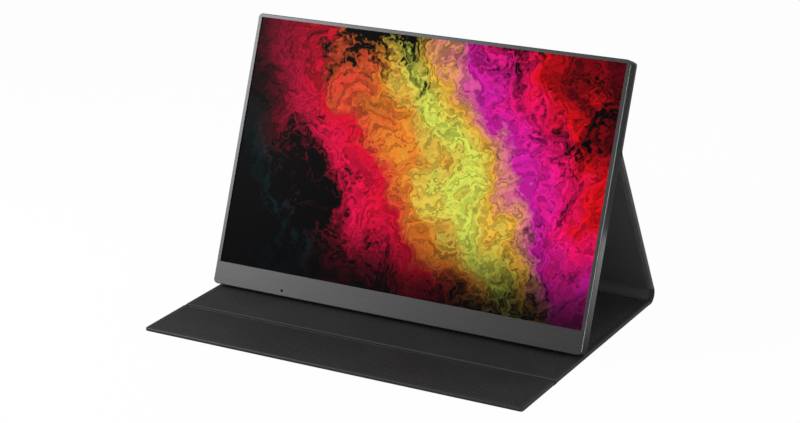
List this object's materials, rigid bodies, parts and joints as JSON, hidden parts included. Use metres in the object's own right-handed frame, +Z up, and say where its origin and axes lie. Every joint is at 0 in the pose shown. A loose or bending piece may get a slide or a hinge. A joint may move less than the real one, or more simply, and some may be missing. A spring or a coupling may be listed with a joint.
{
  "type": "portable monitor with cover",
  "caption": "Thin flat display standing in a folding leather-look cover whose hinged leg and front panel form its stand.",
  "frame": {"origin": "on the table, under the middle of the standing footprint", "axes": "+X across the screen to the viewer's right, -Y towards the viewer, +Z up"},
  "size_m": [0.3516, 0.2534, 0.2279],
  "materials": {
    "frame_metal": "fine brushed, dark grey",
    "shell_metal": "satin dark grey",
    "screw_black": "satin black",
    "tape": "matte black",
    "polariser": "smooth picture surface",
    "cell_glass": "polished",
    "film": "clear prism film",
    "diffuser": "matte white",
    "guide": "clear acrylic",
    "reflector": "white",
    "led": "phosphor yellow on white",
    "tray_metal": "stamped sheet",
    "flex": "amber film",
    "circuit_board": "green solder mask",
    "ribbon": "flat ribbon",
    "foam": "closed-cell foam",
    "chip": "black epoxy",
    "screw_steel": "zinc plated",
    "socket_metal": "nickel",
    "socket_plastic": "black",
    "switch_metal": "bright",
    "button": "satin black",
    "window": "clear light pipe",
    "speaker": "black",
    "keeper": "bare steel",
    "cover_skin": "fine cross-hatched synthetic leather, charcoal",
    "greyboard": "fibreboard",
    "cover_lining": "fine cross-hatched lining, charcoal",
    "magnet": "nickel plated"
  },
  "bodies": {
    "front_panel": {"base_skin": "cover_skin", "base_board": "greyboard", "base_lining": "cover_lining", "groove_crease": "cover_skin", "spine_skin": "cover_skin", "spine_lining": "cover_lining"},
    "front_flap": {"flap_skin": "cover_skin", "flap_board": "greyboard", "flap_lining": "cover_lining", "flap_magnets": "magnet"},
    "leg": {"leg_skin": "cover_skin", "leg_board": "greyboard", "leg_lining": "cover_lining"},
    "monitor": {"front_frame": "frame_metal", "rear_shell": "shell_metal", "shell_screws": "screw_black", "frame_tape": "tape", "front_polariser": "polariser", "lcd_cell": "cell_glass", "prism_films": "film", "diffuser_sheet": "diffuser", "light_guide": "guide", "reflector_sheet": "reflector", "led_bar": "led", "display_tray": "tray_metal", "driver_flex": "flex", "driver_board": "circuit_board", "panel_cable": "ribbon", "support_pads": "foam", "main_board": "circuit_board", "board_chips": "chip", "board_screws": "screw_steel", "usb_c_sockets": "socket_metal", "video_socket": "socket_metal", "headphone_socket": "socket_plastic", "button_board": "circuit_board", "button_switches": "switch_metal", "status_window": "window", "status_board": "circuit_board", "left_speaker": "speaker", "right_speaker": "speaker", "keeper_plates": "keeper", "upper_skin": "cover_skin", "upper_board": "greyboard", "upper_lining": "cover_lining", "upper_magnets": "magnet", "top_crease": "cover_skin"},
    "power_button": {"power_button": "button"},
    "menu_rocker": {"menu_rocker": "button"}
  },
  "joints": [
    {"name": "flap_fold", "type": "hinge", "parent": "front_panel", "child": "front_flap", "pos_m": [0, -0.0677, 0.0006], "axis": [-1, 0, 0], "range_deg": [0, 90], "deforming": ["groove_crease"]},
    {"name": "foot_fold", "type": "hinge", "parent": "front_panel", "child": "leg", "pos_m": [0, 0.1183, 0.0084], "axis": [-1, 0, 0], "range_deg": [-8, 24.41], "deforming": ["spine_skin", "spine_lining"]},
    {"name": "stand_fold", "type": "hinge", "parent": "leg", "child": "monitor", "pos_m": [0, 0.05233, 0.15441], "axis": [1, 0, 0], "range_deg": [-16, 48.82], "deforming": ["top_crease"]},
    {"name": "power_press", "type": "slide", "parent": "monitor", "child": "power_button", "axis": [1, 0, 0], "range_m": [0, 0.0005], "stiffness_N_per_m": 400},
    {"name": "menu_rock", "type": "hinge", "parent": "monitor", "child": "menu_rocker", "pos_m": [-0.17375, 0.04473, 0.16071], "axis": [0, 0.9272, -0.3746], "range_deg": [-2, 2], "stiffness_Nm_per_rad": 0.2}
  ],
  "couplings": [
    {"joint": "foot_fold", "follows": "stand_fold", "ratio": 0.5}
  ]
}
